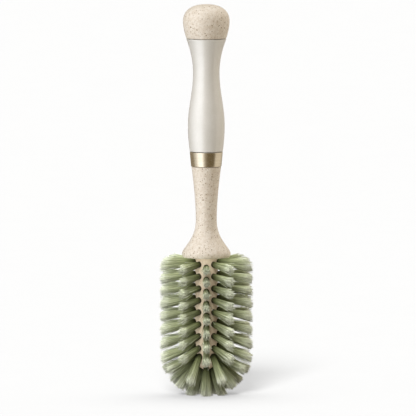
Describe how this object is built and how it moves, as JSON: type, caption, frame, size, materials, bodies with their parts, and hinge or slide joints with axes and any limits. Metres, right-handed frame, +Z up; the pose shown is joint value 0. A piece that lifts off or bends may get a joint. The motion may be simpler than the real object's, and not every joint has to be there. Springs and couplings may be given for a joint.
{
  "type": "bottle brush",
  "caption": "Upright bottle brush: mushroom knob on a hollow frosted handle, brass ferrule, flared neck and a screw-on head of radial bristle tufts.",
  "frame": {"origin": "on the floor under the brush, at the centre of its bounding box's base, on the long axis", "axes": "+Z up along the brush from its bristle tips to its knob, -Y towards the viewer of the picture"},
  "size_m": [0.0656, 0.0662, 0.2702],
  "materials": {
    "speckled_plastic": "satin cream with tan flecks",
    "frosted_handle": "frosted translucent satin",
    "brushed_brass": "brushed",
    "rod_steel": "drawn",
    "insert_plastic": "moulded",
    "seal_rubber": "matt",
    "core_plastic": "satin",
    "sage_bristle": "nylon filament"
  },
  "bodies": {
    "handle": {"handle_sleeve": "frosted_handle", "top_collar": "insert_plastic", "handle_plug": "insert_plastic", "plug_seal": "seal_rubber", "ferrule": "brushed_brass", "neck": "speckled_plastic", "neck_rod": "rod_steel"},
    "knob_ring": {"knob_seal": "seal_rubber"},
    "knob": {"knob": "speckled_plastic", "knob_stud": "insert_plastic"},
    "head_ring": {"head_washer": "seal_rubber"},
    "head": {"core": "core_plastic", "core_insert": "brushed_brass", "bristle_column_01": "sage_bristle", "bristle_column_02": "sage_bristle", "bristle_column_03": "sage_bristle", "bristle_column_04": "sage_bristle", "bristle_column_05": "sage_bristle", "bristle_column_06": "sage_bristle", "bristle_column_07": "sage_bristle", "bristle_column_08": "sage_bristle", "bristle_column_09": "sage_bristle", "bristle_column_10": "sage_bristle", "bristle_crown": "sage_bristle"}
  },
  "joints": [
    {"name": "knob_lift", "type": "slide", "parent": "handle", "child": "knob_ring", "axis": [0, 0, 1], "range_m": [0, 0.012]},
    {"name": "knob_turn", "type": "hinge", "parent": "knob_ring", "child": "knob", "pos_m": [0, 0, 0.2468], "axis": [0, 0, 1], "range_deg": [0, 1440]},
    {"name": "head_drop", "type": "slide", "parent": "handle", "child": "head_ring", "axis": [0, 0, -1], "range_m": [0, 0.012]},
    {"name": "head_turn", "type": "hinge", "parent": "head_ring", "child": "head", "pos_m": [0, 0, 0.09518], "axis": [0, 0, -1], "range_deg": [0, 1440]}
  ],
  "couplings": [
    {"joint": "knob_lift", "follows": "knob_turn", "m_per_rad": 0.00047746},
    {"joint": "head_drop", "follows": "head_turn", "m_per_rad": 0.00047746}
  ]
}
